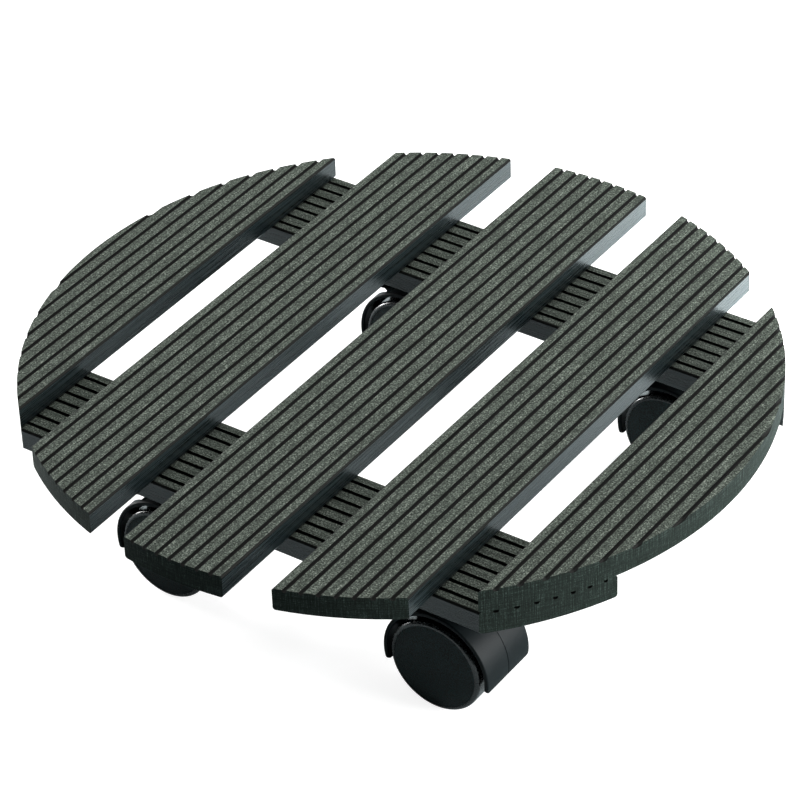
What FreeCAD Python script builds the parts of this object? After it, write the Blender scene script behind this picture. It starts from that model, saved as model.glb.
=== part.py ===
import FreeCAD, Part

import math
import os

import Sketcher
from FreeCAD import Rotation, Vector

# Plant pot caddy: a round deck of five grooved composite boards, screwed from below to two battens of
# the same board, on four hooded twin-wheel casters. Millimetres. The origin is on the floor under the
# centre of the deck, +Z is up, the deck boards run along Y and the battens along X. At rest every
# caster trails towards +X, so all the wheels turn about lines parallel to Y.

DIMENSIONS = [
    # deck
    ("deck_diameter", 380.0, "the circle to which every board end is sawn"),
    ("board_width", 57.0, "width of the grooved board"),
    ("board_thickness", 12.5, "thickness of the grooved board"),
    ("board_top_round", 1.2, "round on the long top edges of a board"),
    ("board_bottom_round", 1.5, "round on the long bottom edges of a board"),
    ("board_stock_length", 420.0, "length of a board before it is sawn to the circle"),
    ("overcut", 1.0, "how far a cut runs past the face that it opens"),
    ("overlap", 0.5, "how far a rib or web runs into the wall that it joins"),
    ("groove_count", 7, "grooves in the face of a board"),
    ("groove_pitch", 7.55, "distance between the grooves of a board"),
    ("groove_width", 2.2, "width of a groove, and twice the radius of its round bottom"),
    ("groove_depth", 1.5, "depth of a groove"),
    ("slat_pitch", 81.3, "distance between the centre lines of the deck boards"),
    ("batten_offset", 106.0, "centre line of a batten from the middle of the deck"),
    # screws that hold the deck boards to the battens
    ("slat_screw_length", 20.0, "length of a deck screw, head included"),
    ("slat_screw_radius", 1.75, "radius of a deck screw's shank"),
    ("slat_screw_head_radius", 3.8, "radius of a deck screw's countersunk head"),
    ("pilot_gap", 0.05, "radial gap round a screw in its pilot hole"),
    ("pilot_run_out", 0.5, "depth of a pilot hole beyond the screw's point"),
    ("head_gap", 0.1, "radial gap round a countersunk head"),
    ("clearance_gap", 0.35, "radial gap round a screw in its clearance hole"),
    ("middle_screw_across", 16.0, "deck screws of the middle board, from its centre line"),
    ("middle_screw_along", 12.0, "deck screws of the middle board, from the batten's centre line"),
    ("rim_screw_outer_across", 155.0, "outer deck screw of an outer board, along X"),
    ("rim_screw_outer_along", 88.0, "outer deck screw of an outer board, along Y"),
    ("rim_screw_inner_across", 143.0, "inner deck screw of an outer board, along X"),
    ("rim_screw_inner_along", 107.0, "inner deck screw of an outer board, along Y"),
    # caster places and heights
    ("caster_across", 80.0, "swivel axis of a caster from the middle of the deck, along X"),
    ("caster_height", 66.0, "floor to the underside of the battens"),
    ("trail", 21.5, "axle from the swivel axis"),
    # caster top plate and its screws
    ("plate_side", 42.0, "side of the square top plate"),
    ("plate_thickness", 2.5, "thickness of the top plate"),
    ("plate_corner", 5.0, "corner radius of the top plate"),
    ("plate_hole_offset", 15.5, "screw holes of the top plate, from its centre along X and Y"),
    ("plate_hole_radius", 2.2, "radius of a screw hole in the top plate"),
    ("plate_screw_length", 19.0, "length of a plate screw under its head"),
    ("plate_screw_radius", 2.0, "radius of a plate screw's shank"),
    ("plate_screw_head_radius", 3.9, "radius of a plate screw's pan head"),
    ("plate_screw_head_height", 2.2, "height of a plate screw's pan head"),
    ("pan_crown_radius", 2.3, "radius of the flat top of a pan head"),
    ("pan_shoulder_radius", 3.5, "radius of a pan head's shoulder"),
    ("pan_shoulder_height", 1.5, "height of a pan head's shoulder"),
    ("pan_side_height", 0.7, "height of a pan head's upright side"),
    ("screw_point", 4.0, "length of a screw's point"),
    ("recess_length", 4.4, "length of an arm pair of the cross recess in a screw head"),
    ("recess_width", 0.9, "width of the cross recess"),
    ("recess_depth", 1.2, "depth of the cross recess"),
    # kingpin, its grip ring and the thrust washer
    ("kingpin_radius", 4.0, "radius of the kingpin"),
    ("kingpin_foot", 52.3, "lower end of the kingpin above the floor"),
    ("kingpin_point", 0.8, "bevel on the kingpin's lower end"),
    ("ring_seat_height", 54.6, "lower side of the kingpin's ring groove above the floor"),
    ("ring_seat_width", 1.2, "width of the kingpin's ring groove"),
    ("ring_seat_radius", 3.2, "bottom of the kingpin's ring groove"),
    ("ring_thickness", 1.0, "thickness of the grip ring"),
    ("ring_inner_radius", 3.25, "inside of the grip ring"),
    ("ring_outer_radius", 4.8, "outside of the grip ring"),
    ("ring_split", 2.0, "gap in the grip ring"),
    ("ring_room", 0.3, "radial room for the grip ring in the boss"),
    ("ring_play", 0.2, "room for the grip ring above and below"),
    ("washer_radius", 11.5, "outside of the thrust washer"),
    ("washer_thickness", 1.5, "thickness of the thrust washer"),
    ("swivel_gap", 0.3, "gap between the thrust washer and the hood"),
    ("running_gap", 0.05, "radial gap of a running fit"),
    # hood
    ("hood_outer_radius", 29.7, "outside of the hood's arch"),
    ("hood_wall", 2.3, "thickness of the hood's arch"),
    ("hood_width", 36.0, "width of the hood along the axle"),
    ("hood_front_drop", 10.0, "degrees that the arch reaches below the axle in front"),
    ("hood_rear_end", 197.0, "degrees over the top at which the arch ends behind the boss"),
    ("notch_start", 11.0, "where the arch's notch for the boss begins, behind the axle"),
    ("notch_floor", 10.0, "bottom of the notch above the axle"),
    ("notch_floor_width", 11.0, "width of the notch at its bottom"),
    ("notch_mouth", 27.0, "height above the axle at which the notch reaches its full width"),
    ("notch_mouth_width", 31.2, "full width of the notch, between the arch's two rims"),
    ("notch_corner", 3.0, "corner radius of the notch's bottom"),
    ("hood_corner", 2.2, "corner radius of the arch's two ends"),
    ("hood_edge_round", 0.8, "round on the rims of the hood"),
    ("hood_seam_width", 0.5, "width of the moulding seam along the arch"),
    ("hood_seam_depth", 0.25, "depth of the moulding seam"),
    ("hood_seam_end", 98.0, "degrees over the top at which the seam ends"),
    ("boss_radius", 12.0, "radius of the boss round the kingpin"),
    ("boss_foot", 50.0, "underside of the boss above the floor"),
    ("boss_round", 1.0, "round on the boss's upper edge"),
    ("web_thickness", 9.0, "thickness of the web between the wheels"),
    ("web_hub_radius", 8.0, "radius of the web's hub round the axle"),
    ("web_hub_thickness", 9.6, "thickness of the web's hub"),
    ("web_overlap", 0.2, "how far the web runs into the arch"),
    ("neck_rear", 29.3, "rear side of the neck under the boss, behind the axle"),
    ("neck_front", 10.7, "front side of the neck, behind the axle"),
    ("neck_foot", 12.5, "lower end of the neck above the axle"),
    ("neck_foot_rear", 14.65, "rear corner of the neck's lower end, behind the axle"),
    # wheels
    ("wheel_radius", 25.0, "radius of the tread"),
    ("wheel_inside", 5.5, "inner edge of the tread from the middle of the caster"),
    ("wheel_outside", 19.0, "outer edge of the rim from the middle of the caster"),
    ("wheel_outer_round", 2.1, "round on the outer edge of the tread"),
    ("wheel_inner_round", 1.0, "round on the inner edge of the tread"),
    ("rim_inner_radius", 21.7, "inside of the rim"),
    ("hub_radius", 6.5, "radius of the wheel's hub"),
    ("hub_inside", 5.1, "inner end of the wheel's hub from the middle of the caster"),
    ("hub_outside", 16.0, "outer end of the wheel's hub, and outer face of its disc"),
    ("disc_thickness", 2.0, "thickness of the wheel's disc"),
    ("rib_count", 6, "ribs between hub and rim"),
    ("rib_thickness", 1.6, "thickness of a rib"),
    ("rib_height", 5.0, "height of a rib on the inner face of the disc"),
    ("cap_seat_radius", 22.8, "radius of the wheel's seat for its cap"),
    ("cap_radius", 22.65, "radius of the wheel cap"),
    ("cap_flat", 0.8, "radius of the flat in the middle of the cap's dome"),
    ("cap_crown", 20.2, "middle of the cap's face from the middle of the caster"),
    ("cap_edge", 18.9, "edge of the cap's face from the middle of the caster"),
    ("cap_wall", 1.6, "thickness of the cap's face and skirt"),
    # axle and its clips
    ("axle_radius", 3.0, "radius of the axle"),
    ("axle_length", 35.2, "length of the axle"),
    ("clip_inside", 16.3, "inner face of an axle clip from the middle of the caster"),
    ("clip_thickness", 1.0, "thickness of an axle clip"),
    ("clip_radius", 5.5, "outside of an axle clip"),
]

doc = FreeCAD.newDocument("PlantPotCaddy")
sheet = doc.addObject("Spreadsheet::Sheet", "Dims")
for row, (alias, size, meaning) in enumerate(DIMENSIONS, start=1):
    sheet.set(f"A{row}", meaning)
    sheet.set(f"B{row}", str(size))
    sheet.setAlias(f"B{row}", alias)
doc.recompute()

parts = []

ALONG_AXLE = Rotation(Vector(1, 0, 0), -90)
HALF_TURN = Rotation(Vector(0, 0, 1), 180)

# Heights above the floor, as expressions of the sheet.
SLAT_FOOT = "Dims.caster_height + Dims.board_thickness"
PLATE_FOOT = "Dims.caster_height - Dims.plate_thickness"
WASHER_FOOT = f"{PLATE_FOOT} - Dims.washer_thickness"
BOSS_TOP = f"{WASHER_FOOT} - Dims.swivel_gap"


def value(expression):
    """The number that an expression of the sheet gives now."""
    return float(sheet.evalExpression(expression))


# ---- documents, sketches and features ----


def part_body(label):
    """An empty body that becomes one sub-part."""
    body = doc.addObject("PartDesign::Body", label)
    body.Label = label
    parts.append(body)
    return body


def place(item, across, along, up, turn=Rotation()):
    """Puts an object at a place whose coordinates stay bound to the sheet."""
    item.Placement = FreeCAD.Placement(Vector(), turn)
    for axis, expression in zip("xyz", (across, along, up)):
        item.setExpression(f"Placement.Base.{axis}", expression)


def sketch_on(body, name, role, raised="0"):
    """A sketch on one of a body's own origin planes, raised along the plane's normal."""
    sketch = body.newObject("Sketcher::SketchObject", name)
    plane = next(item for item in body.Origin.OriginFeatures if item.Role == role)
    sketch.AttachmentSupport = [(plane, "")]
    sketch.MapMode = "FlatFace"
    sketch.setExpression("AttachmentOffset.Base.z", raised)
    return sketch


def bind(sketch, kind, geometry, expression, *ends):
    """A dimension of a sketch that follows an expression."""
    number = sketch.addConstraint(Sketcher.Constraint(kind, *ends, *geometry, value(expression)))
    sketch.setExpression(f"Constraints[{number}]", expression)


def pin_point(sketch, side, end, across, up):
    """Fixes one point of a sketch by its two distances from the sketch's origin."""
    for kind, expression in (("DistanceX", across), ("DistanceY", up)):
        bind(sketch, kind, (side, end), expression, -1, 1)


def add_side(sketch, start, finish, domed):
    """Adds a straight side, or an arc about a centre on the vertical axis; returns it with its two ends."""
    if not domed:
        return sketch.addGeometry(Part.LineSegment(start, finish)), 1, 2
    rise = finish.y - start.y
    height = (finish.x**2 + finish.y**2 - start.x**2 - start.y**2) / (2 * rise)
    centre = Vector(0, height, 0)
    circle = Part.Circle(centre, Vector(0, 0, 1), (start - centre).Length)
    anticlockwise = (start - centre).cross(finish - centre).z > 0
    first, last = (start, finish) if anticlockwise else (finish, start)
    side = sketch.addGeometry(Part.ArcOfCircle(circle, circle.parameter(first), circle.parameter(last)))
    sketch.addConstraint(Sketcher.Constraint("PointOnObject", side, 3, -2))
    return (side, 1, 2) if anticlockwise else (side, 2, 1)


def outline(sketch, corners, domed=()):
    """A closed outline through corners given as pairs of expressions.

    The sides numbered in domed are arcs centred on the sketch's vertical axis, the others are straight.
    """
    points = [Vector(value(across), value(up), 0) for across, up in corners]
    sides = []
    for number, start in enumerate(points):
        finish = points[(number + 1) % len(points)]
        sides.append(add_side(sketch, start, finish, number in domed))
    for number, (side, first, _) in enumerate(sides):
        before, _, last = sides[number - 1]
        sketch.addConstraint(Sketcher.Constraint("Coincident", before, last, side, first))
        pin_point(sketch, side, first, *corners[number])


def rectangle(left, right, low, high):
    """The four corners of a rectangle, for outline."""
    return [(left, low), (right, low), (right, high), (left, high)]


def circle(sketch, across, up, radius):
    """A circle with its centre and radius bound to the sheet."""
    centre = Vector(value(across), value(up), 0)
    side = sketch.addGeometry(Part.Circle(centre, Vector(0, 0, 1), value(radius)))
    pin_point(sketch, side, 3, across, up)
    bind(sketch, "Radius", (side,), radius)


def pad(body, sketch, length, midplane=False, down=False):
    """Adds material from a sketch."""
    feature = body.newObject("PartDesign::Pad", f"{sketch.Name}Pad")
    feature.Profile = sketch
    feature.Midplane = midplane
    feature.Reversed = down
    feature.setExpression("Length", length)
    doc.recompute()
    return feature


def cut(body, feature):
    """Recomputes a cutting feature and makes sure that it took material away."""
    before = feature.BaseFeature.Shape.Volume
    doc.recompute()
    if feature.Shape.Volume >= before:
        raise RuntimeError(f"{feature.Name} on {body.Label} cuts nothing")
    return feature


def pocket(body, sketch, length, midplane=False, up=False):
    """Cuts a sketch out of a body, down from the sketch unless up or midplane is set."""
    feature = body.newObject("PartDesign::Pocket", f"{sketch.Name}Pocket")
    feature.Profile = sketch
    feature.Midplane = midplane
    feature.Reversed = up
    feature.setExpression("Length", length)
    return cut(body, feature)


def revolve(body, sketch, kind="Revolution", down=None, over=None):
    """Turns a sketch about its vertical axis: all round, or from down below to over above its plane."""
    feature = body.newObject(f"PartDesign::{kind}", f"{sketch.Name}{kind}")
    feature.Profile = sketch
    feature.ReferenceAxis = (sketch, ["V_Axis"])
    if over is None:
        feature.Angle = 360
    else:
        feature.Type = "TwoAngles"
        feature.setExpression("Angle", down)
        feature.setExpression("Angle2", over)
    if kind == "Groove":
        return cut(body, feature)
    doc.recompute()
    return feature


def repeat(body, feature, kind, count, **bindings):
    """Repeats a feature along X or round Y, and makes the pattern count."""
    pattern = body.newObject(f"PartDesign::{kind}", f"{feature.Name}{kind}")
    pattern.Originals = [feature]
    role = "X_Axis" if kind == "LinearPattern" else "Y_Axis"
    axis = next(item for item in body.Origin.OriginFeatures if item.Role == role)
    setattr(pattern, "Direction" if kind == "LinearPattern" else "Axis", (axis, [""]))
    pattern.setExpression("Occurrences", count)
    for name, expression in bindings.items():
        pattern.setExpression(name, expression)
    body.Tip = pattern
    doc.recompute()
    return pattern


def edges_where(shape, test):
    """The names of the edges whose middle point and edge pass a test."""
    names = []
    for number, edge in enumerate(shape.Edges, start=1):
        middle = edge.valueAt((edge.FirstParameter + edge.LastParameter) / 2)
        if test(middle, edge):
            names.append(f"Edge{number}")
    return names


def soften(body, kind, size, test):
    """Rounds or bevels the chosen edges of a body."""
    base = body.Tip
    names = edges_where(base.Shape, test)
    if not names:
        raise RuntimeError(f"{body.Label} has no such edge")
    feature = body.newObject(f"PartDesign::{kind}", f"{body.Label}_{kind}")
    feature.Base = (base, names)
    feature.setExpression("Radius" if kind == "Fillet" else "Size", size)
    doc.recompute()
    return feature


def near(one, other):
    """True when two lengths are the same within a hundredth of a millimetre."""
    return abs(one - other) < 0.01


# ---- deck ----


def grooved_board(label, offset):
    """A board along its own Y, its underside at zero, sawn to the deck's circle.

    offset is the board's centre line from the middle of the deck, along the board's own X.
    """
    body = part_body(label)
    half = "Dims.board_width / 2"
    section = sketch_on(body, f"{label}_section", "XZ_Plane")
    outline(section, rectangle(f"-{half}", half, "0", "Dims.board_thickness"))
    pad(body, section, "Dims.board_stock_length", midplane=True)

    top = value("Dims.board_thickness")
    side = value(half)
    for size, level in (("Dims.board_bottom_round", 0), ("Dims.board_top_round", top)):
        soften(body, "Fillet", size, lambda p, edge: near(abs(p.x), side) and near(p.z, level))

    groove = sketch_on(body, f"{label}_groove", "XZ_Plane")
    first = "-(Dims.groove_count - 1) / 2 * Dims.groove_pitch"
    groove_section(groove, first)
    channel = pocket(body, groove, "Dims.board_stock_length + Dims.overcut * 2", midplane=True)
    span = "(Dims.groove_count - 1) * Dims.groove_pitch"
    repeat(body, channel, "LinearPattern", "Dims.groove_count", Length=span)

    saw = sketch_on(body, f"{label}_saw", "XY_Plane")
    circle(saw, f"-({offset})", "0", "Dims.deck_diameter / 2")
    circle(saw, f"-({offset})", "0", "Dims.board_stock_length")
    pocket(body, saw, "(Dims.board_thickness + Dims.overcut) * 2", midplane=True)
    return body


def groove_section(sketch, across):
    """A groove's section: straight walls and a half-round bottom."""
    radius = "Dims.groove_width / 2"
    low = f"Dims.board_thickness - Dims.groove_depth + {radius}"
    high = "Dims.board_thickness + Dims.overcut"
    left, right = value(f"{across} - {radius}"), value(f"{across} + {radius}")
    floor, roof = value(low), value(high)
    bottom = Part.Circle(Vector(value(across), floor, 0), Vector(0, 0, 1), value(radius))
    names = [
        sketch.addGeometry(Part.LineSegment(Vector(right, floor, 0), Vector(right, roof, 0))),
        sketch.addGeometry(Part.LineSegment(Vector(right, roof, 0), Vector(left, roof, 0))),
        sketch.addGeometry(Part.LineSegment(Vector(left, roof, 0), Vector(left, floor, 0))),
        sketch.addGeometry(Part.ArcOfCircle(bottom, math.pi, math.tau)),
    ]
    right_wall, lid, left_wall, arc = names
    for one, other in ((right_wall, lid), (lid, left_wall)):
        sketch.addConstraint(Sketcher.Constraint("Coincident", one, 2, other, 1))
    sketch.addConstraint(Sketcher.Constraint("Tangent", left_wall, 2, arc, 1))
    sketch.addConstraint(Sketcher.Constraint("Tangent", arc, 2, right_wall, 1))
    sketch.addConstraint(Sketcher.Constraint("Vertical", right_wall))
    sketch.addConstraint(Sketcher.Constraint("Horizontal", lid))
    bind(sketch, "Radius", (arc,), radius)
    pin_point(sketch, arc, 3, across, low)
    bind(sketch, "DistanceY", (lid, 1), high, -1, 1)


def deck_screw_places(slat):
    """Where the deck screws of a slat go, as pairs of expressions in the deck's own X and Y."""
    middle = [
        ("-Dims.middle_screw_across", "Dims.batten_offset + Dims.middle_screw_along"),
        ("Dims.middle_screw_across", "Dims.batten_offset - Dims.middle_screw_along"),
    ]
    rim = [
        ("Dims.rim_screw_outer_across", "Dims.rim_screw_outer_along"),
        ("Dims.rim_screw_inner_across", "Dims.rim_screw_inner_along"),
    ]
    if slat == 0:
        return middle
    if abs(slat) == 2:
        return [(f"{slat // 2} * {across}", along) for across, along in rim]
    return []


def plate_screw_places():
    """Where the screws of one top plate go, from its centre."""
    return [
        (f"{across} * Dims.plate_hole_offset", f"{along} * Dims.plate_hole_offset")
        for across in (-1, 1)
        for along in (-1, 1)
    ]


def drill(body, name, places, radius, depth):
    """Drills round holes up from a board's underside."""
    sketch = sketch_on(body, name, "XY_Plane")
    for across, along in places:
        circle(sketch, across, along, radius)
    return pocket(body, sketch, depth, up=True)


def slat(number):
    """A deck board. Number 0 is the middle one, and -2 and 2 are sawn to crescents."""
    offset = f"{number} * Dims.slat_pitch"
    body = grooved_board(f"slat_{number + 3}", offset)
    screws = [
        (f"{across} - ({offset})", f"{end} * ({along})")
        for end in (-1, 1)
        for across, along in deck_screw_places(number)
    ]
    if screws:
        radius = "Dims.slat_screw_radius + Dims.pilot_gap"
        depth = "Dims.slat_screw_length - Dims.board_thickness + Dims.pilot_run_out"
        drill(body, f"pilots_{number + 3}", screws, radius, depth)
    if abs(number) == 1:
        centre = f"{number} * Dims.caster_across - ({offset})"
        places = [
            (f"{centre} + {across}", f"{end} * Dims.batten_offset + {along}")
            for end in (-1, 1)
            for across, along in plate_screw_places()
        ]
        radius = "Dims.plate_screw_radius + Dims.pilot_gap"
        depth = "Dims.plate_screw_length - Dims.plate_thickness - Dims.board_thickness + Dims.pilot_run_out"
        drill(body, f"plate_pilots_{number + 3}", places, radius, depth)
    place(body, offset, "0", SLAT_FOOT)


def batten(label, end):
    """A batten along X under one end of the deck boards, grooved face up."""
    offset = f"{end} * Dims.batten_offset"
    body = grooved_board(label, offset)
    screws = [
        (f"{end} * ({along}) - ({offset})", f"-({across})")
        for number in (-2, 0, 2)
        for across, along in deck_screw_places(number)
    ]
    radius = "Dims.slat_screw_radius + Dims.clearance_gap"
    drill(body, f"{label}_screw_holes", screws, radius, "Dims.board_thickness + Dims.overcut")
    mouth = value(radius)
    bevel = f"Dims.slat_screw_head_radius + Dims.head_gap - ({radius})"
    soften(body, "Chamfer", bevel, lambda p, edge: near(p.z, 0) and is_circle(edge, mouth))
    casters = [
        (along, f"-({number} * Dims.caster_across + {across})")
        for number in (-1, 1)
        for across, along in plate_screw_places()
    ]
    radius = "Dims.plate_screw_radius + Dims.clearance_gap"
    drill(body, f"{label}_plate_holes", casters, radius, "Dims.board_thickness + Dims.overcut")
    place(body, "0", offset, "Dims.caster_height", Rotation(Vector(0, 0, 1), 90))


def is_circle(edge, radius):
    """True when an edge lies on a circle of a given radius."""
    return edge.Curve.TypeId == "Part::GeomCircle" and near(edge.Curve.Radius, radius)


# ---- fasteners ----


def screw_master(name, profile, recess_level, recess_down):
    """A screw pointing up, from its outline, with a cross recess in its head."""
    body = doc.addObject("PartDesign::Body", name)
    sketch = sketch_on(body, f"{name}_profile", "XZ_Plane")
    outline(sketch, profile)
    revolve(body, sketch)
    for turn, (long_side, short_side) in enumerate(
        (("Dims.recess_length", "Dims.recess_width"), ("Dims.recess_width", "Dims.recess_length"))
    ):
        arm = sketch_on(body, f"{name}_recess_{turn}", "XY_Plane", recess_level)
        across, along = f"{long_side} / 2", f"{short_side} / 2"
        outline(arm, rectangle(f"-{across}", across, f"-{along}", along))
        pocket(body, arm, recess_down, up=True)
    return body


def deck_screw_master():
    """A countersunk screw whose head is flush with the underside of the batten, at zero."""
    head = "Dims.slat_screw_head_radius"
    shank = "Dims.slat_screw_radius"
    profile = [
        ("0", "0"),
        (head, "0"),
        (shank, f"{head} - {shank}"),
        (shank, "Dims.slat_screw_length - Dims.screw_point"),
        ("0", "Dims.slat_screw_length"),
    ]
    return screw_master("DeckScrew", profile, "0", "Dims.recess_depth")


def plate_screw_master():
    """A pan-head screw whose head bears on the underside of the top plate, at zero."""
    head = "Dims.plate_screw_head_radius"
    shank = "Dims.plate_screw_radius"
    deep = "Dims.plate_screw_head_height"
    profile = [
        ("0", f"-{deep}"),
        ("Dims.pan_crown_radius", f"-{deep}"),
        ("Dims.pan_shoulder_radius", "-Dims.pan_shoulder_height"),
        (head, "-Dims.pan_side_height"),
        (head, "0"),
        (shank, "0"),
        (shank, "Dims.plate_screw_length - Dims.screw_point"),
        ("0", "Dims.plate_screw_length"),
    ]
    return screw_master("PlateScrew", profile, f"-{deep}", "Dims.recess_depth")


def screw_set(label, master, places, up):
    """Several copies of one screw, joined in one sub-part as separate solids."""
    copies = []
    for across, along in places:
        screw = doc.addObject("App::Link", f"{label}_screw")
        screw.LinkedObject = master
        place(screw, across, along, "0")
        copies.append(screw)
    group = doc.addObject("Part::Compound", label)
    group.Label = label
    group.Links = copies
    place(group, "0", "0", up)
    parts.append(group)


# ---- casters ----


def ring(label, inner, outer, thickness):
    """A flat ring standing on its own XY plane, by boring one cylinder out of another."""
    disc = doc.addObject("Part::Cylinder", f"{label}_disc")
    bore = doc.addObject("Part::Cylinder", f"{label}_bore")
    for item, radius in ((disc, outer), (bore, inner)):
        item.setExpression("Radius", radius)
        item.setExpression("Height", thickness)
    washer = doc.addObject("Part::Cut", label)
    washer.Base = disc
    washer.Tool = bore
    return washer


def top_plate(label, stem):
    """The square plate that is screwed up under the batten."""
    body = part_body(label)
    half = "Dims.plate_side / 2"
    sketch = sketch_on(body, f"{label}_outline", "XY_Plane")
    outline(sketch, rectangle(f"-{half}", half, f"-{half}", half))
    pad(body, sketch, "Dims.plate_thickness")
    side = value(half)
    soften(body, "Fillet", "Dims.plate_corner", lambda p, edge: near(abs(p.x), side) and near(abs(p.y), side))
    depth = "Dims.plate_thickness + Dims.overcut"
    drill(body, f"{label}_holes", plate_screw_places(), "Dims.plate_hole_radius", depth)
    drill(body, f"{label}_bore", [("0", "0")], "Dims.kingpin_radius", depth)
    place(body, *stem, PLATE_FOOT)


def kingpin(label, stem):
    """The pin riveted into the top plate, with a groove for its grip ring."""
    body = part_body(label)
    pin = "Dims.kingpin_radius"
    seat = "Dims.ring_seat_height - Dims.kingpin_foot"
    profile = [
        ("0", "0"),
        (f"{pin} - Dims.kingpin_point", "0"),
        (pin, "Dims.kingpin_point"),
        (pin, seat),
        ("Dims.ring_seat_radius", seat),
        ("Dims.ring_seat_radius", f"{seat} + Dims.ring_seat_width"),
        (pin, f"{seat} + Dims.ring_seat_width"),
        (pin, "Dims.caster_height - Dims.kingpin_foot"),
        ("0", "Dims.caster_height - Dims.kingpin_foot"),
    ]
    sketch = sketch_on(body, f"{label}_profile", "XZ_Plane")
    outline(sketch, profile)
    revolve(body, sketch)
    place(body, *stem, "Dims.kingpin_foot")


def grip_ring(label, stem):
    """The split spring ring that keeps the hood on its kingpin."""
    whole = ring(f"{label}_whole", "Dims.ring_inner_radius", "Dims.ring_outer_radius", "Dims.ring_thickness")
    slot = doc.addObject("Part::Box", f"{label}_slot")
    slot.setExpression("Length", "Dims.ring_outer_radius * 2")
    slot.setExpression("Width", "Dims.ring_split")
    slot.setExpression("Height", "Dims.ring_thickness")
    slot.setExpression("Placement.Base.y", "-Dims.ring_split / 2")
    split = doc.addObject("Part::Cut", label)
    split.Label = label
    split.Base = whole
    split.Tool = slot
    play = "(Dims.ring_seat_width - Dims.ring_thickness) / 2"
    place(split, *stem, f"Dims.ring_seat_height + {play}")
    parts.append(split)


def thrust_washer(label, stem):
    """The washer between the top plate and the hood."""
    bore = "Dims.kingpin_radius + Dims.running_gap"
    washer = ring(label, bore, "Dims.washer_radius", "Dims.washer_thickness")
    washer.Label = label
    place(washer, *stem, WASHER_FOOT)
    parts.append(washer)


def hood_arch(body, label):
    """The arch over the wheels, notched behind the axle to let the boss through."""
    outer = "Dims.hood_outer_radius"
    half = "Dims.hood_width / 2"
    section = sketch_on(body, f"{label}_arch", "XY_Plane")
    outline(section, rectangle(f"{outer} - Dims.hood_wall", outer, f"-{half}", half))
    revolve(body, section, down="Dims.hood_front_drop", over="Dims.hood_rear_end")
    wall = value("Dims.hood_wall")
    rim = value(half)
    on_rim = lambda p: near(abs(p.y), rim)
    soften(body, "Fillet", "Dims.hood_corner", lambda p, edge: on_rim(p) and near(edge.Length, wall))
    soften(body, "Fillet", "Dims.hood_edge_round", lambda p, edge: on_rim(p) and edge.Length > wall)
    notch = sketch_on(body, f"{label}_notch", "YZ_Plane", "-Dims.notch_start")
    low, high = "Dims.notch_floor_width / 2", "Dims.notch_mouth_width / 2"
    roof = f"{outer} + Dims.overcut"
    right = [(low, "Dims.notch_floor"), (high, "Dims.notch_mouth"), (high, roof)]
    left = [(f"-{across}", up) for across, up in reversed(right)]
    outline(notch, right + left)
    pocket(body, notch, outer)
    level = value("Dims.notch_floor")
    corner = value(low)
    soften(body, "Fillet", "Dims.notch_corner", lambda p, edge: near(p.z, level) and near(abs(p.y), corner))


def hood_web(body, label):
    """The web between the wheels: a half disc, its hub, and a neck up to the kingpin boss."""
    foot = "Dims.boss_foot - Dims.wheel_radius"
    reach = "Dims.hood_outer_radius * 2"
    disc = sketch_on(body, f"{label}_web", "XZ_Plane")
    circle(disc, "0", "0", "Dims.hood_outer_radius - Dims.hood_wall + Dims.web_overlap")
    pad(body, disc, "Dims.web_thickness", midplane=True)
    below = sketch_on(body, f"{label}_below", "XZ_Plane")
    inside = "Dims.hood_outer_radius - Dims.hood_wall"
    outline(below, rectangle(f"-{inside}", inside, f"-{reach}", "0"))
    pocket(body, below, "Dims.web_thickness", midplane=True)
    hub = sketch_on(body, f"{label}_hub", "XZ_Plane")
    circle(hub, "0", "0", "Dims.web_hub_radius")
    pad(body, hub, "Dims.web_hub_thickness", midplane=True)
    neck = sketch_on(body, f"{label}_neck", "XZ_Plane")
    top = f"{foot} + Dims.overlap"
    corners = [("-Dims.neck_rear", foot), ("-Dims.neck_rear", top), ("-Dims.neck_front", top)]
    corners += [("-Dims.neck_front", "Dims.neck_foot"), ("-Dims.neck_foot_rear", "Dims.neck_foot")]
    outline(neck, corners)
    pad(body, neck, "Dims.web_thickness", midplane=True)


def hood_boss(body, label):
    """The boss round the kingpin, bored for the pin and its grip ring."""
    foot = "Dims.boss_foot - Dims.wheel_radius"
    top = f"{BOSS_TOP} - Dims.wheel_radius"
    boss = sketch_on(body, f"{label}_boss", "XY_Plane", foot)
    circle(boss, "-Dims.trail", "0", "Dims.boss_radius")
    pad(body, boss, f"{BOSS_TOP} - Dims.boss_foot")
    level = value(top)
    soften(body, "Fillet", "Dims.boss_round", lambda p, edge: near(p.z, level))
    bore = sketch_on(body, f"{label}_bore", "XY_Plane", top)
    circle(bore, "-Dims.trail", "0", "Dims.kingpin_radius + Dims.running_gap")
    pocket(body, bore, f"{BOSS_TOP} - Dims.kingpin_foot + Dims.swivel_gap")
    low = "Dims.ring_seat_height - Dims.ring_play - Dims.wheel_radius"
    room = sketch_on(body, f"{label}_ring_room", "XY_Plane", low)
    circle(room, "-Dims.trail", "0", "Dims.ring_outer_radius + Dims.ring_room")
    pocket(body, room, "Dims.ring_seat_width + Dims.ring_play * 2", up=True)


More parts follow.
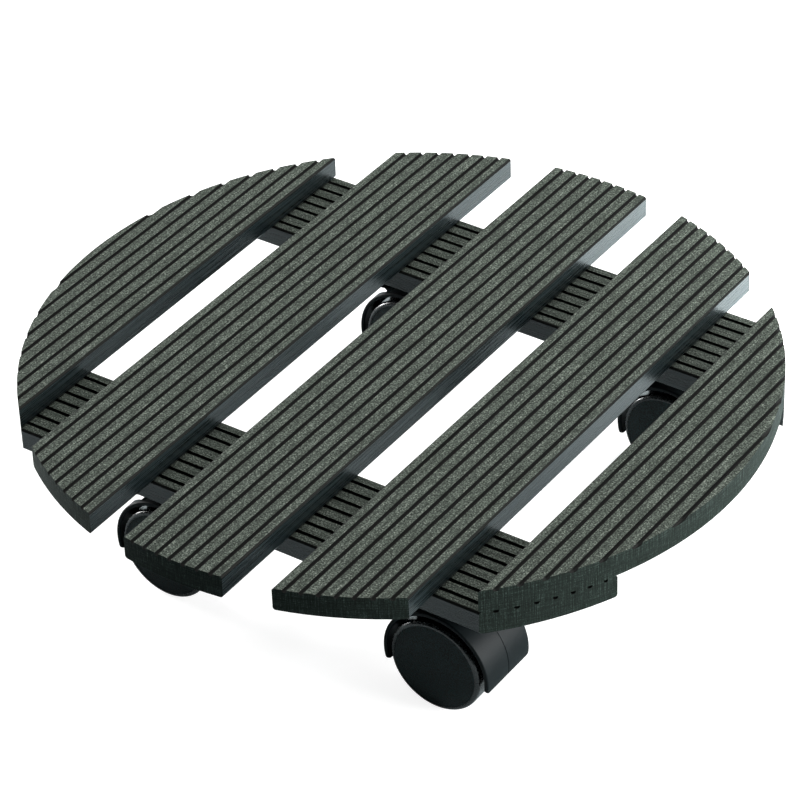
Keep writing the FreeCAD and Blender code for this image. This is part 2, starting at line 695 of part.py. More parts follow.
def hood(label, stem):
    """The moulded hood, with its own origin at the middle of the axle."""
    body = part_body(label)
    hood_arch(body, label)
    hood_web(body, label)
    hood_boss(body, label)
    seam = sketch_on(body, f"{label}_seam", "XY_Plane")
    half = "Dims.hood_seam_width / 2"
    skin = "Dims.hood_outer_radius"
    outline(seam, rectangle(f"{skin} - Dims.hood_seam_depth", f"{skin} + Dims.overcut", f"-{half}", half))
    revolve(body, seam, "Groove", down="Dims.hood_front_drop + Dims.overcut", over="Dims.hood_seam_end")
    eye = sketch_on(body, f"{label}_eye", "XZ_Plane")
    circle(eye, "0", "0", "Dims.axle_radius")
    pocket(body, eye, "Dims.web_hub_thickness + Dims.overcut", midplane=True)
    across, along = stem
    place(body, f"{across} + Dims.trail", along, "Dims.wheel_radius")


def wheel(label, axle, turn):
    """A wheel, its own origin at the middle of the caster and its outer face towards its own +Y."""
    body = part_body(label)
    bore = "Dims.axle_radius + Dims.running_gap"
    inner_face = "Dims.hub_outside - Dims.disc_thickness"
    profile = [
        (bore, "Dims.hub_inside"),
        ("Dims.hub_radius", "Dims.hub_inside"),
        ("Dims.hub_radius", inner_face),
        ("Dims.rim_inner_radius", inner_face),
        ("Dims.rim_inner_radius", "Dims.wheel_inside"),
        ("Dims.wheel_radius", "Dims.wheel_inside"),
        ("Dims.wheel_radius", "Dims.wheel_outside"),
        ("Dims.cap_seat_radius", "Dims.wheel_outside"),
        ("Dims.cap_seat_radius", "Dims.hub_outside"),
        (bore, "Dims.hub_outside"),
    ]
    section = sketch_on(body, f"{label}_section", "XY_Plane")
    outline(section, profile)
    revolve(body, section)
    tread = value("Dims.wheel_radius")
    for size, edge_name in (("Dims.wheel_outer_round", "outside"), ("Dims.wheel_inner_round", "inside")):
        level = value(f"Dims.wheel_{edge_name}")
        soften(body, "Fillet", size, lambda p, edge: near(p.y, level) and is_circle(edge, tread))
    rib = sketch_on(body, f"{label}_rib", "XZ_Plane", f"-({inner_face})")
    half = "Dims.rib_thickness / 2"
    start, finish = "Dims.hub_radius - Dims.overlap", "Dims.rim_inner_radius + Dims.overlap"
    outline(rib, rectangle(start, finish, f"-{half}", half))
    stiffener = pad(body, rib, "Dims.rib_height")
    repeat(body, stiffener, "PolarPattern", "Dims.rib_count", Angle="360")
    place(body, *axle, turn)


def wheel_cap(label, axle, turn):
    """The domed cap snapped into a wheel's outer face."""
    body = part_body(label)
    inside = "Dims.cap_radius - Dims.cap_wall"
    profile = [
        ("0", "Dims.cap_crown - Dims.cap_wall"),
        (inside, "Dims.cap_edge - Dims.cap_wall"),
        (inside, "Dims.hub_outside"),
        ("Dims.cap_radius", "Dims.hub_outside"),
        ("Dims.cap_radius", "Dims.cap_edge"),
        ("Dims.cap_flat", "Dims.cap_crown"),
        ("0", "Dims.cap_crown"),
    ]
    section = sketch_on(body, f"{label}_section", "XY_Plane")
    outline(section, profile, domed=(0, 4))
    revolve(body, section)
    place(body, *axle, turn)


def axle_pin(label, axle):
    """The steel axle, pressed into the hood's hub."""
    pin = doc.addObject("Part::Cylinder", label)
    pin.Label = label
    pin.setExpression("Radius", "Dims.axle_radius")
    pin.setExpression("Height", "Dims.axle_length")
    across, along, up = axle
    place(pin, across, f"{along} - Dims.axle_length / 2", up, ALONG_AXLE)
    parts.append(pin)


def axle_clips(label, axle):
    """The two push-on clips that keep the wheels on the axle."""
    across, along, up = axle
    clips = []
    near_faces = {"front": "-Dims.clip_inside - Dims.clip_thickness", "rear": "Dims.clip_inside"}
    for name, near_face in near_faces.items():
        clip = ring(f"{label}_{name}", "Dims.axle_radius", "Dims.clip_radius", "Dims.clip_thickness")
        place(clip, across, f"{along} + ({near_face})", up, ALONG_AXLE)
        clips.append(clip)
    group = doc.addObject("Part::Compound", label)
    group.Label = label
    group.Links = clips
    parts.append(group)


def caster(name, side, end, screw):
    """All the pieces of one caster; side and end say under which corner of the deck it stands."""
    stem = (f"{side} * Dims.caster_across", f"{end} * Dims.batten_offset")
    axle = (f"{stem[0]} + Dims.trail", stem[1], "Dims.wheel_radius")
    top_plate(f"top_plate_{name}", stem)
    places = [(f"{stem[0]} + {across}", f"{stem[1]} + {along}") for across, along in plate_screw_places()]
    screw_set(f"plate_screws_{name}", screw, places, PLATE_FOOT)
    kingpin(f"kingpin_{name}", stem)
    grip_ring(f"grip_ring_{name}", stem)
    thrust_washer(f"thrust_washer_{name}", stem)
    hood(f"hood_{name}", stem)
    axle_pin(f"axle_{name}", axle)
    axle_clips(f"axle_clips_{name}", axle)
    for number, turn in ((1, HALF_TURN), (2, Rotation())):
        wheel(f"wheel_{name}_{number}", axle, turn)
        wheel_cap(f"wheel_cap_{name}_{number}", axle, turn)


# ---- the whole caddy ----

CASTERS = {
    "front_left": (-1, -1),
    "front_right": (1, -1),
    "rear_left": (-1, 1),
    "rear_right": (1, 1),
}

for number in (-2, -1, 0, 1, 2):
    slat(number)
batten("batten_front", -1)
batten("batten_rear", 1)

deck_screws = [
    (across, f"{end} * ({along})")
    for end in (-1, 1)
    for number in (-2, 0, 2)
    for across, along in deck_screw_places(number)
]
screw_set("slat_screws", deck_screw_master(), deck_screws, "Dims.caster_height")
plate_screw = plate_screw_master()
for name, (side, end) in CASTERS.items():
    caster(name, side, end, plate_screw)
doc.recompute()

failed = [item.Name for item in doc.Objects if {"Invalid", "Error"} & set(item.State)]
if failed:
    raise RuntimeError(f"these objects did not recompute: {failed}")
for part in parts:
    if part.Shape.isNull() or not part.Shape.isValid():
        raise RuntimeError(f"{part.Label} has no valid shape")

os.makedirs("parts", exist_ok=True)
for part in parts:
    part.Shape.exportStep(f"parts/{part.Label}.step")
    solids = len(part.Shape.Solids)
    print(f"{part.Label}: {solids} solid(s), {part.Shape.Volume / 1000:.1f} cm3")
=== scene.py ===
"""Plant pot caddy: the finishes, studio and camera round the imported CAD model."""

import logging
import math
from dataclasses import dataclass, field
from enum import Enum
from typing import Any, Iterable

import bmesh
import bpy
from mathutils import Matrix, Vector


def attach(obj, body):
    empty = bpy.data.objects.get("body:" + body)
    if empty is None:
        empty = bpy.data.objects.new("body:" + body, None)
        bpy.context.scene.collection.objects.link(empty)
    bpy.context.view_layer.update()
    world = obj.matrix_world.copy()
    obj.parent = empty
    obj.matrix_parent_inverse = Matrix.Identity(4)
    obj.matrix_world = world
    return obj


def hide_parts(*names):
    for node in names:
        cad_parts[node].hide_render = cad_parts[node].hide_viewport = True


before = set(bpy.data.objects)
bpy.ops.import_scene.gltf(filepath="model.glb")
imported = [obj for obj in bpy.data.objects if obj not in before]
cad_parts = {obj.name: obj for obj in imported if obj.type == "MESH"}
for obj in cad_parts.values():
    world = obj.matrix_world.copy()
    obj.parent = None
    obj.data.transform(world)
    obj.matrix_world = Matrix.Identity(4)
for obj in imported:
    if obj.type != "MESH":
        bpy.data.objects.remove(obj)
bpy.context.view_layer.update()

logging.basicConfig(level=logging.INFO, format="%(message)s")
log = logging.getLogger("caddy")

MM = 0.001
MM_PER_METRE = 1000.0


class Grain(Enum):
    """Which way a board's grooves, die lines and sanding scratches run."""

    ALONG_Y = "slat"
    ALONG_X = "batten"


class Side(Enum):
    """Which side of the deck a caster stands on, as the sign of its X."""

    LEFT = -1
    RIGHT = 1


class End(Enum):
    """Which batten a caster is screwed to, as the sign of its Y."""

    FRONT = -1
    REAR = 1


def linear(code: str) -> tuple[float, float, float, float]:
    """Turns an sRGB hex colour into linear RGBA.

    Args:
        code: six hex digits after a #, such as "#6b7068".
    Returns:
        Red, green, blue and an alpha of 1.
    """
    parts = [int(code[i:i + 2], 16) / 255 for i in (1, 3, 5)]
    turned = [c / 12.92 if c <= 0.04045 else ((c + 0.055) / 1.055) ** 2.4 for c in parts]
    return (*turned, 1.0)


def add_node(tree: bpy.types.NodeTree, kind: str, settings: dict[str, Any] | None = None,
             inputs: dict[str | int, Any] | None = None,
             stops: Iterable[tuple[float, str]] = ()) -> bpy.types.Node:
    """Adds one node with its settings, values and links.

    Args:
        tree: the node tree that takes it.
        kind: the node's type after "ShaderNode", such as "TexNoise".
        settings: attributes to set on the node.
        inputs: for each input, a value to set or an output socket to link from.
        stops: a colour ramp's stops, as position and hex colour.
    Returns:
        The new node.
    """
    node = tree.nodes.new("ShaderNode" + kind)
    for name, value in (settings or {}).items():
        setattr(node, name, value)
    for key, value in (inputs or {}).items():
        if isinstance(value, bpy.types.NodeSocket):
            tree.links.new(value, node.inputs[key])
        else:
            node.inputs[key].default_value = value
    for number, (position, colour) in enumerate(stops):
        elements = node.color_ramp.elements
        stop = elements[number] if number < 2 else elements.new(position)
        stop.position, stop.color = position, linear(colour)
    return node


class Recipe:
    """A material under construction: its node tree and its Principled shader."""

    def __init__(self, name: str, **constants: float) -> None:
        """Starts an empty material.

        Args:
            name: the material's name.
            constants: values for the shader's own sockets, with _ for a space.
        """
        self.material = bpy.data.materials.new(name)
        self.material.use_nodes = True
        self.tree = self.material.node_tree
        self.tree.nodes.clear()
        self.shader = self.add("BsdfPrincipled", inputs={
            key.replace("_", " "): value for key, value in constants.items()})
        self.output = self.add("OutputMaterial", inputs={"Surface": self.shader.outputs[0]})
        self.coordinates = self.add("TexCoord")
        self.millimetres = self.add(
            "VectorMath", {"operation": "SCALE"},
            {0: self.coordinates.outputs["Object"], "Scale": MM_PER_METRE}).outputs[0]

    def add(self, kind: str, settings: dict[str, Any] | None = None,
            inputs: dict[str | int, Any] | None = None,
            stops: Iterable[tuple[float, str]] = ()) -> bpy.types.Node:
        """Adds a node to this material's tree, as add_node does."""
        return add_node(self.tree, kind, settings, inputs, stops)

    def open_from_behind(self) -> None:
        """Makes the back of a surface clear, so that it hides nothing from below."""
        behind = self.add("NewGeometry").outputs["Backfacing"]
        clear = self.add("BsdfTransparent").outputs[0]
        both = self.add("MixShader", inputs={0: behind, 1: self.shader.outputs[0], 2: clear})
        self.tree.links.new(both.outputs[0], self.output.inputs["Surface"])

    def feed(self, **links: bpy.types.NodeSocket) -> None:
        """Links output sockets to the shader's inputs, with _ for a space."""
        for key, socket in links.items():
            self.tree.links.new(socket, self.shader.inputs[key.replace("_", " ")])


def speckle(r: Recipe, size_mm: float) -> bpy.types.NodeSocket:
    """Scatters grains of wood flour through a material.

    Args:
        r: the material under construction.
        size_mm: the size of a grain.
    Returns:
        A noise between 0 and 1.
    """
    return r.add("TexNoise", inputs={
        "Vector": r.millimetres, "Scale": 1 / size_mm, "Detail": 3.0,
        "Roughness": 0.7}).outputs[0]


def streaks(r: Recipe, grain: Grain, width_mm: float,
            length_mm: float) -> bpy.types.NodeSocket:
    """Draws fine lines along a board.

    Args:
        r: the material under construction.
        grain: which way the board runs.
        width_mm: the width of a line.
        length_mm: the length of a line.
    Returns:
        A noise between 0 and 1.
    """
    fine, long = 1 / width_mm, 1 / length_mm
    scale = (fine, long, fine) if grain is Grain.ALONG_Y else (long, fine, fine)
    drawn = r.add("Mapping", inputs={"Vector": r.millimetres, "Scale": scale})
    return r.add("TexNoise", inputs={
        "Vector": drawn.outputs[0], "Scale": 1.0, "Detail": 3.0}).outputs[0]


@dataclass(frozen=True)
class ExtrudedComposite:
    """Wood-plastic composite as the die leaves it: a dark skin lined lengthways.

    On the sides of a board the skin is satin and mirrors the floor. Down in the
    grooves and on the rounded long top edges it is dull, and its colour there is
    made close to black: painted shade.
    """

    name: str
    grain: Grain
    dark: str
    light: str
    specular: float
    smooth: float
    rough: float
    die_line_mm: float = 0.45
    die_line_length_mm: float = 60.0

    def make(self) -> bpy.types.Material:
        """Builds the material.

        Returns:
            The finished material.
        """
        r = Recipe(self.name, IOR=1.5, Specular_IOR_Level=self.specular)
        lines = streaks(r, self.grain, self.die_line_mm, self.die_line_length_mm)
        colour = r.add("ValToRGB", inputs={0: lines}, stops=(
            (0.36, self.dark), (0.66, self.light)))
        roughness = r.add("MapRange", inputs={
            "Value": lines, "From Min": 0.3, "From Max": 0.7,
            "To Min": self.smooth, "To Max": self.rough})
        bump = r.add("Bump", inputs={
            "Strength": 0.5, "Distance": 0.10 * MM, "Height": lines})
        r.feed(Base_Color=colour.outputs[0], Roughness=roughness.outputs[0],
               Normal=bump.outputs[0])
        return r.material


@dataclass(frozen=True)
class SandedComposite:
    """Wood-plastic composite with its skin sanded off the rib tops.

    Sanding opens a dull green-grey, gritty with wood flour and scratched along
    the board. Wood flour is about 0.2 mm; it is drawn coarser, or it wouldn't show.
    """

    name: str
    grain: Grain
    tones: tuple[str, ...] = ("#0f150f", "#252c25", "#3e463f", "#777d74")
    fleck_mm: float = 0.8
    scratch_mm: float = 0.9
    scratch_length_mm: float = 22.0
    scratch_share: float = 0.30
    stops: tuple[float, ...] = (0.50, 0.62, 0.72, 0.86)

    def make(self) -> bpy.types.Material:
        """Builds the material.

        Returns:
            The finished material.
        """
        r = Recipe(self.name, IOR=1.5, Specular_IOR_Level=0.22)
        flecks = speckle(r, self.fleck_mm)
        scratches = streaks(r, self.grain, self.scratch_mm, self.scratch_length_mm)
        blend = r.add("Math", {"operation": "MULTIPLY_ADD"},
                      {0: scratches, 1: self.scratch_share, 2: flecks})
        colour = r.add("ValToRGB", inputs={0: blend.outputs[0]}, stops=zip(
            self.stops, self.tones))
        rough = r.add("MapRange", inputs={
            "Value": flecks, "From Min": 0.3, "From Max": 0.7,
            "To Min": 0.95, "To Max": 0.72})
        bump = r.add("Bump", inputs={
            "Strength": 0.6, "Distance": 0.12 * MM, "Height": flecks})
        r.feed(Base_Color=colour.outputs[0], Roughness=rough.outputs[0],
               Normal=bump.outputs[0])
        return r.material


@dataclass(frozen=True)
class SawnComposite:
    """Wood-plastic composite where the saw went through it.

    The blade leaves a near black, dull face, crossed by fine upright scores and
    fine level ones, with a few pale grains of wood flour torn open.
    """

    tones: tuple[str, ...] = ("#0a110d", "#101814", "#1b2521", "#414c46")
    rim_mm: float = 190.0
    fleck_mm: float = 0.6
    score_mm: float = 0.6
    score_length_mm: float = 14.0
    level_share: float = 0.4
    fleck_share: float = 0.4
    stops: tuple[float, ...] = (0.40, 0.49, 0.56, 0.68)

    def make(self) -> bpy.types.Material:
        """Builds the material.

        Returns:
            The finished material.
        """
        r = Recipe("composite_sawn_end", IOR=1.5, Specular_IOR_Level=0.12)
        place = r.add("SeparateXYZ", inputs={0: r.millimetres})
        turn = r.add("Math", {"operation": "ARCTAN2"},
                     {0: place.outputs["Y"], 1: place.outputs["X"]})
        along = r.add("Math", {"operation": "MULTIPLY"},
                      {0: turn.outputs[0], 1: self.rim_mm})
        wound = r.add("CombineXYZ", inputs={"X": along.outputs[0], "Y": place.outputs["Z"]})
        fine, long = 1 / self.score_mm, 1 / self.score_length_mm
        scores = []
        for scale in ((fine, long, 1.0), (long, fine, 1.0)):
            drawn = r.add("Mapping", inputs={"Vector": wound.outputs[0], "Scale": scale})
            scores.append(r.add("TexNoise", inputs={
                "Vector": drawn.outputs[0], "Scale": 1.0, "Detail": 2.0}).outputs[0])
        crossed = r.add("Mix", inputs={
            "Factor": self.level_share, 2: scores[0], 3: scores[1]})
        face = r.add("Mix", inputs={
            "Factor": self.fleck_share, 2: crossed.outputs[0], 3: speckle(r, self.fleck_mm)})
        colour = r.add("ValToRGB", inputs={0: face.outputs[0]}, stops=zip(
            self.stops, self.tones))
        rough = r.add("MapRange", inputs={
            "Value": face.outputs[0], "From Min": 0.35, "From Max": 0.65,
            "To Min": 0.92, "To Max": 0.70})
        bump = r.add("Bump", inputs={
            "Strength": 0.5, "Distance": 0.14 * MM, "Height": face.outputs[0]})
        r.feed(Base_Color=colour.outputs[0], Roughness=rough.outputs[0],
               Normal=bump.outputs[0])
        return r.material


@dataclass(frozen=True)
class MouldedNylon:
    """Black nylon from a polished or a grained mould.

    A smooth mould leaves a satin black that picks up soft highlights, with a
    faint orange-peel. A grained one breaks the highlight into fine pits. Moulded
    grain is about 0.3 mm; on the caps it is drawn coarser, or it wouldn't show,
    and the caps' pale flecks of colour are painted glints of that grain.
    """

    name: str
    dark: str
    light: str
    roughness: float
    grain_mm: float
    grain_depth_mm: float
    worn: float = 0.06
    specular: float = 0.5
    cloud_mm: float = 9.0
    cloud_share: float = 0.15
    low: float = 0.49
    high: float = 0.70

    def make(self) -> bpy.types.Material:
        """Builds the material.

        Returns:
            The finished material.
        """
        r = Recipe(self.name, IOR=1.53, Specular_IOR_Level=self.specular)
        grain = r.add("TexNoise", inputs={
            "Vector": r.millimetres, "Scale": 1 / self.grain_mm, "Detail": 2.0,
            "Roughness": 0.6})
        cloud = r.add("TexNoise", inputs={
            "Vector": r.millimetres, "Scale": 1 / self.cloud_mm, "Detail": 2.0})
        mixed = r.add("Math", {"operation": "MULTIPLY_ADD"},
                      {0: cloud.outputs[0], 1: self.cloud_share, 2: grain.outputs[0]})
        colour = r.add("ValToRGB", inputs={0: mixed.outputs[0]}, stops=(
            (self.low, self.dark), (self.high, self.light)))
        rough = r.add("MapRange", inputs={
            "Value": mixed.outputs[0], "From Min": self.low, "From Max": self.high,
            "To Min": self.roughness - self.worn, "To Max": self.roughness + self.worn})
        bump = r.add("Bump", inputs={
            "Strength": 0.6, "Distance": self.grain_depth_mm * MM,
            "Height": grain.outputs[0]})
        r.feed(Base_Color=colour.outputs[0], Roughness=rough.outputs[0],
               Normal=bump.outputs[0])
        return r.material


@dataclass(frozen=True)
class PlatedSteel:
    """Steel under zinc plating, black passivation or a turned finish.

    Plating gives a dull bright metal, mottled by handling, with fine turning
    or rolling lines in the highlight.
    """

    name: str
    dark: str
    light: str
    roughness: float
    metallic: float = 1.0
    line_mm: float = 0.15
    patch_mm: float = 2.4
    mottle: float = 0.08

    def make(self) -> bpy.types.Material:
        """Builds the material.

        Returns:
            The finished material.
        """
        r = Recipe(self.name, Metallic=self.metallic)
        patches = r.add("TexNoise", inputs={
            "Vector": r.millimetres, "Scale": 1 / self.patch_mm, "Detail": 4.0})
        lined = r.add("Mapping", inputs={
            "Vector": r.millimetres, "Scale": (0.02, 0.02, 1 / self.line_mm)})
        lines = r.add("TexNoise", inputs={
            "Vector": lined.outputs[0], "Scale": 1.0, "Detail": 2.0})
        colour = r.add("ValToRGB", inputs={0: patches.outputs[0]}, stops=(
            (0.35, self.dark), (0.68, self.light)))
        rough = r.add("MapRange", inputs={
            "Value": patches.outputs[0], "From Min": 0.3, "From Max": 0.7,
            "To Min": self.roughness - self.mottle,
            "To Max": self.roughness + self.mottle})
        bump = r.add("Bump", inputs={
            "Strength": 0.3, "Distance": 0.02 * MM, "Height": lines.outputs[0]})
        r.feed(Base_Color=colour.outputs[0], Roughness=rough.outputs[0],
               Normal=bump.outputs[0])
        return r.material


Finish = ExtrudedComposite | SandedComposite | SawnComposite | MouldedNylon | PlatedSteel

FINISHES: dict[str, Finish] = {
    "sawn_end": SawnComposite(),
    "hood": MouldedNylon("satin_black_nylon", "#03080a", "#080f11", 0.46, 0.5, 0.02,
                         worn=0.02, specular=0.09),
    # The cap's pale light tone puts painted glints of the grain into its colour, over black
    # nylon.
    "cap": MouldedNylon("grained_black_nylon", "#020303", "#1f2e2f", 0.58, 0.70, 0.60,
                        worn=0.12, specular=0.16),
    "wheel": MouldedNylon("polished_black_nylon", "#0b0e0f", "#15191a", 0.26, 0.8, 0.01),
    "washer": MouldedNylon("acetal", "#1a1a1a", "#262626", 0.45, 0.4, 0.01),
    "plate": PlatedSteel("black_passivated_steel", "#0e0f11", "#24262a", 0.42),
    "pin": PlatedSteel("turned_steel", "#8a8c8e", "#b4b6b8", 0.28),
    "screw": PlatedSteel("zinc_plated_steel", "#8d9196", "#b9bdc0", 0.34),
}


for direction in Grain:
    kind = direction.value
    FINISHES[f"{kind}_skin"] = ExtrudedComposite(
        f"composite_{kind}_skin", direction, "#030606", "#162022", 0.5, 0.20, 0.38)
    # The groove finish is darker than the skin it is made of: painted shade in the grooves
    # and on the rounded long top edges.
    FINISHES[f"{kind}_groove"] = ExtrudedComposite(
        f"composite_{kind}_groove", direction, "#010201", "#080a07", 0.12, 0.7, 0.9)
    FINISHES[f"{kind}_rib"] = SandedComposite(f"composite_{kind}_rib", direction)


class Workshop:
    """Makes each finish once and puts it on CAD nodes and new pieces."""

    def __init__(self) -> None:
        """Makes every finish in the list."""
        self.materials = {name: finish.make() for name, finish in FINISHES.items()}

    def dress(self, node: str, finish: str) -> None:
        """Gives a CAD node a finish.

        Args:
            node: the CAD node's name.
            finish: the finish's name in FINISHES.
        """
        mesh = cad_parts[node].data
        mesh.materials.clear()
        mesh.materials.append(self.materials[finish])
        log.info("%s: %s", node, self.materials[finish].name)


class Zone(Enum):
    """A part of a board's surface with a finish of its own, as its slot number."""

    SKIN = 0
    RIB = 1
    # Groove walls and floors and the rounded long top edges, with a near black finish that
    # paints in their shade.
    GROOVE = 2
    SAWN = 3


@dataclass(frozen=True)
class Board:
    """A grooved board with its ends sawn to the deck's circle.

    It takes the CAD board's own shape, and adds what the tools leave: sanded rib
    tops between dull grooves, and a sawn face at each end, with the sharp corner
    broken where it meets the top. The grooves and the rounded long top edges get a
    near black finish that is painted shade.
    """

    node: str
    kind: str
    top: float
    rim: float = 0.190
    rim_play: float = 0.0004
    groove_reach: float = 0.0016
    rib_play: float = 0.00005
    upright: float = 0.5
    merge: float = 1e-6
    flat: float = math.radians(0.5)
    crease: float = math.radians(32)
    broken_corner: float = 0.00022

    def build(self, shop: Workshop) -> None:
        """Builds the board in the CAD board's place.

        Args:
            shop: the finishes.
        """
        build = bmesh.new()
        build.from_mesh(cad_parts[self.node].data)
        bmesh.ops.remove_doubles(build, verts=build.verts, dist=self.merge)
        bmesh.ops.dissolve_limit(build, angle_limit=self.flat, verts=build.verts,
                                 edges=build.edges)
        for face in build.faces:
            face.material_index = self._zone(face).value
            face.smooth = True
        corners = [edge for edge in build.edges if self._is_sawn_corner(edge)]
        bmesh.ops.bevel(build, geom=corners, offset=self.broken_corner, affect="EDGES",
                        segments=1, profile=0.5, material=-1, clamp_overlap=True)
        mesh = bpy.data.meshes.new(f"{self.node}_board")
        build.to_mesh(mesh)
        build.free()
        for name in ("custom_normal", "sharp_face"):
            if name in mesh.attributes:
                mesh.attributes.remove(mesh.attributes[name])
        for finish in (f"{self.kind}_skin", f"{self.kind}_rib", f"{self.kind}_groove",
                       "sawn_end"):
            mesh.materials.append(shop.materials[finish])
        mesh.set_sharp_from_angle(angle=self.crease)
        piece = bpy.data.objects.new(f"{self.node}_board", mesh)
        bpy.context.scene.collection.objects.link(piece)
        weighted = piece.modifiers.new("weighted_normals", "WEIGHTED_NORMAL")
        weighted.keep_sharp = True
        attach(piece, "deck")
        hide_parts(self.node)
        log.info("%s: %d faces", piece.name, len(mesh.polygons))

    def _zone(self, face: bmesh.types.BMFace) -> Zone:
        """Says which zone a face of the board belongs to."""
        middle = face.calc_center_median()
        if abs(face.normal.z) < self.upright and middle.xy.length > self.rim - self.rim_play:
            return Zone.SAWN
        if middle.z < self.top - self.groove_reach:
            return Zone.SKIN
        if middle.z > self.top - self.rib_play and face.normal.z > self.upright:
            return Zone.RIB
        # Groove walls and floors and the rounded long top edges land here and take the
        # painted shade finish.
        return Zone.GROOVE

    def _is_sawn_corner(self, edge: bmesh.types.BMEdge) -> bool:
        """True for an edge where the sawn rim meets a face that looks up."""
        sawn = [f.material_index == Zone.SAWN.value for f in edge.link_faces]
        return (len(sawn) == 2 and sum(sawn) == 1
                and any(f.normal.z > self.upright for f in edge.link_faces))


@dataclass
class SlattedDeck:
    """Five slats across two battens, held by screws from below."""

    slats: int = 5
    slat_top: float = 0.091
    batten_top: float = 0.0785

    def build(self, shop: Workshop) -> None:
        """Builds every board and gives the screws their finish.

        Args:
            shop: the finishes.
        """
        for number in range(1, self.slats + 1):
            Board(f"slat_{number}", "slat", self.slat_top).build(shop)
        for end in ("front", "rear"):
            Board(f"batten_{end}", "batten", self.batten_top).build(shop)
        shop.dress("slat_screws", "screw")


@dataclass
class Caster:
    """A hooded twin-wheel caster on its top plate."""

    side: Side
    end: End
    parts: dict[str, str] = field(default_factory=lambda: {
        "top_plate": "plate", "plate_screws": "screw", "kingpin": "pin",
        "grip_ring": "pin", "thrust_washer": "washer", "hood": "hood",
        "axle": "pin", "axle_clips": "pin"})
    wheel_parts: dict[str, str] = field(default_factory=lambda: {
        "wheel": "wheel", "wheel_cap": "cap"})

    @property
    def name(self) -> str:
        """The corner it stands at, such as front_left."""
        return f"{self.end.name}_{self.side.name}".lower()

    def dress(self, shop: Workshop) -> None:
        """Gives every piece of the caster its finish.

        Args:
            shop: the finishes.
        """
        for part, finish in self.parts.items():
            shop.dress(f"{part}_{self.name}", finish)
        for part, finish in self.wheel_parts.items():
            for wheel in (1, 2):
                shop.dress(f"{part}_{self.name}_{wheel}", finish)


@dataclass(frozen=True)
class Softbox:
    """A square softbox that the camera doesn't see."""

    name: str
    place: tuple[float, float, float]
    size: float
    watts: float
    target: tuple[float, float, float] = (0.0, 0.0, 0.091)
    spread: float = math.pi

    def hang(self) -> None:
        """Hangs the softbox facing its target."""
        lamp = bpy.data.lights.new(self.name, "AREA")
        lamp.shape, lamp.size, lamp.energy = "SQUARE", self.size, self.watts
        lamp.spread = self.spread
        light = bpy.data.objects.new(self.name, lamp)
        light.location = self.place
        aim = Vector(self.target) - Vector(self.place)
        light.rotation_euler = aim.to_track_quat("-Z", "Y").to_euler()
        light.visible_camera = False
        bpy.context.scene.collection.objects.link(light)


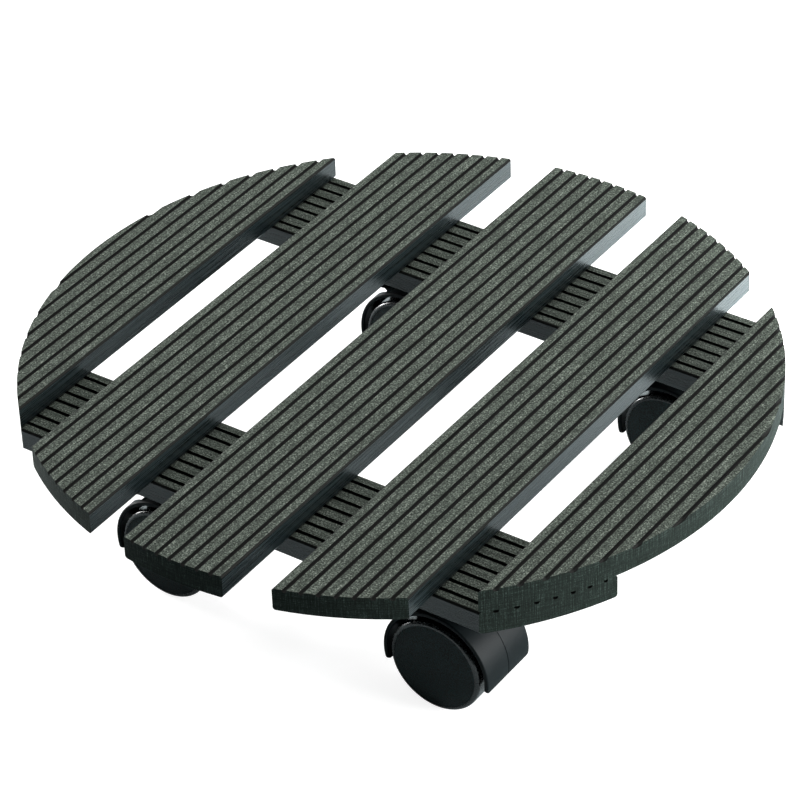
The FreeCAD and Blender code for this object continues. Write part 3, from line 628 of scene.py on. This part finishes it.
@dataclass
class Studio:
    """A pale floor, soft lights and the camera."""

    floor_radius: float = 4.0
    floor_sides: int = 96
    floor_glow: float = 0.86
    bounce_drop: float = 0.0002
    room_strength: float = 0.95
    deck_height: float = 0.091
    azimuth: float = 35.503
    elevation: float = 35.222
    roll: float = -2.2075
    distance: float = 1.8388
    lens_mm: float = 166.94
    sensor_mm: float = 36.0
    shift: tuple[float, float] = (-0.0007, -0.0544)
    clip: tuple[float, float] = (0.05, 50.0)
    lamps: tuple[Softbox, ...] = (
        Softbox("top_softbox", (-0.1, 0.7, 1.4), 1.0, 26.0),
        Softbox("left_softbox", (-1.7, 0.05, 0.36), 0.6, 60.0),
        Softbox("right_softbox", (1.6, 0.4, 0.45), 0.8, 72.0),
        Softbox("rear_softbox", (0.6, 1.9, 0.8), 1.2, 50.0),
        Softbox("floor_softbox", (0.40, 0.54, 0.30), 0.6, 13.0, (0.40, 0.54, 0.0),
                math.radians(80)),
    )

    def build(self) -> None:
        """Builds the floors, the lights, the surroundings and the camera."""
        white = Recipe(
            "white_acrylic_floor", IOR=1.45, Roughness=0.9, Base_Color=linear("#a8a8a8"),
            Emission_Color=(1.0, 1.0, 1.0, 1.0), Emission_Strength=self.floor_glow)
        white.open_from_behind()
        seen = self._floor("studio_floor", white, 0.0)
        seen.visible_glossy = seen.visible_diffuse = seen.visible_shadow = False
        matt = Recipe("matt_white_floor", IOR=1.45, Roughness=0.9,
                      Base_Color=linear("#b0bcbe"))
        lit = self._floor("bounce_floor", matt, self.bounce_drop)
        lit.visible_camera = False
        self._surroundings()
        for lamp in self.lamps:
            lamp.hang()
        self._camera()

    def _floor(self, name: str, finish: Recipe, drop: float) -> bpy.types.Object:
        """Lays one round floor under the casters.

        Args:
            name: the floor's name.
            finish: its material.
            drop: how far it lies below the casters, in metres.
        Returns:
            The floor. One shows white to the camera; the other, just below it, is
            what lights and darkens the pieces, with the deck's own shadow on it.
        """
        build = bmesh.new()
        bmesh.ops.create_circle(build, cap_ends=True, segments=self.floor_sides,
                                radius=self.floor_radius,
                                matrix=Matrix.Translation((0.0, 0.0, -drop)))
        mesh = bpy.data.meshes.new(name)
        build.to_mesh(mesh)
        build.free()
        mesh.materials.append(finish.material)
        floor = bpy.data.objects.new(name, mesh)
        bpy.context.scene.collection.objects.link(floor)
        return floor

    def _surroundings(self) -> None:
        """Puts pale surroundings behind the floor, which light nothing themselves."""
        world = bpy.data.worlds.new("pale_room")
        world.use_nodes = True
        background = world.node_tree.nodes["Background"]
        background.inputs["Color"].default_value = linear("#f4f7f8")
        background.inputs["Strength"].default_value = self.room_strength
        world.cycles_visibility.diffuse = world.cycles_visibility.glossy = False
        bpy.context.scene.world = world

    def _camera(self) -> None:
        """Places the camera over the front right corner, looking at the deck."""
        turn, lift, lean = (math.radians(a) for a in
                            (self.azimuth, self.elevation, self.roll))
        back = Vector((math.sin(turn) * math.cos(lift),
                       -math.cos(turn) * math.cos(lift), math.sin(lift)))
        right = Vector((math.cos(turn), math.sin(turn), 0.0))
        up = back.cross(right)
        across = math.cos(lean) * right + math.sin(lean) * up
        upward = math.cos(lean) * up - math.sin(lean) * right
        data = bpy.data.cameras.new("camera")
        data.lens, data.sensor_width = self.lens_mm, self.sensor_mm
        data.shift_x, data.shift_y = self.shift
        data.clip_start, data.clip_end = self.clip
        camera = bpy.data.objects.new("camera", data)
        place = Vector((0.0, 0.0, self.deck_height)) + back * self.distance
        axes = Matrix((across, upward, back)).transposed().to_4x4()
        camera.matrix_world = Matrix.Translation(place) @ axes
        bpy.context.scene.collection.objects.link(camera)
        bpy.context.scene.camera = camera


def main() -> None:
    """Builds the caddy's looks and the studio, in order."""
    shop = Workshop()
    SlattedDeck().build(shop)
    for end in End:
        for side in Side:
            Caster(side, end).dress(shop)
    Studio().build()
    bpy.context.scene.view_settings.view_transform = "Standard"


if __name__ == "__main__":
    main()
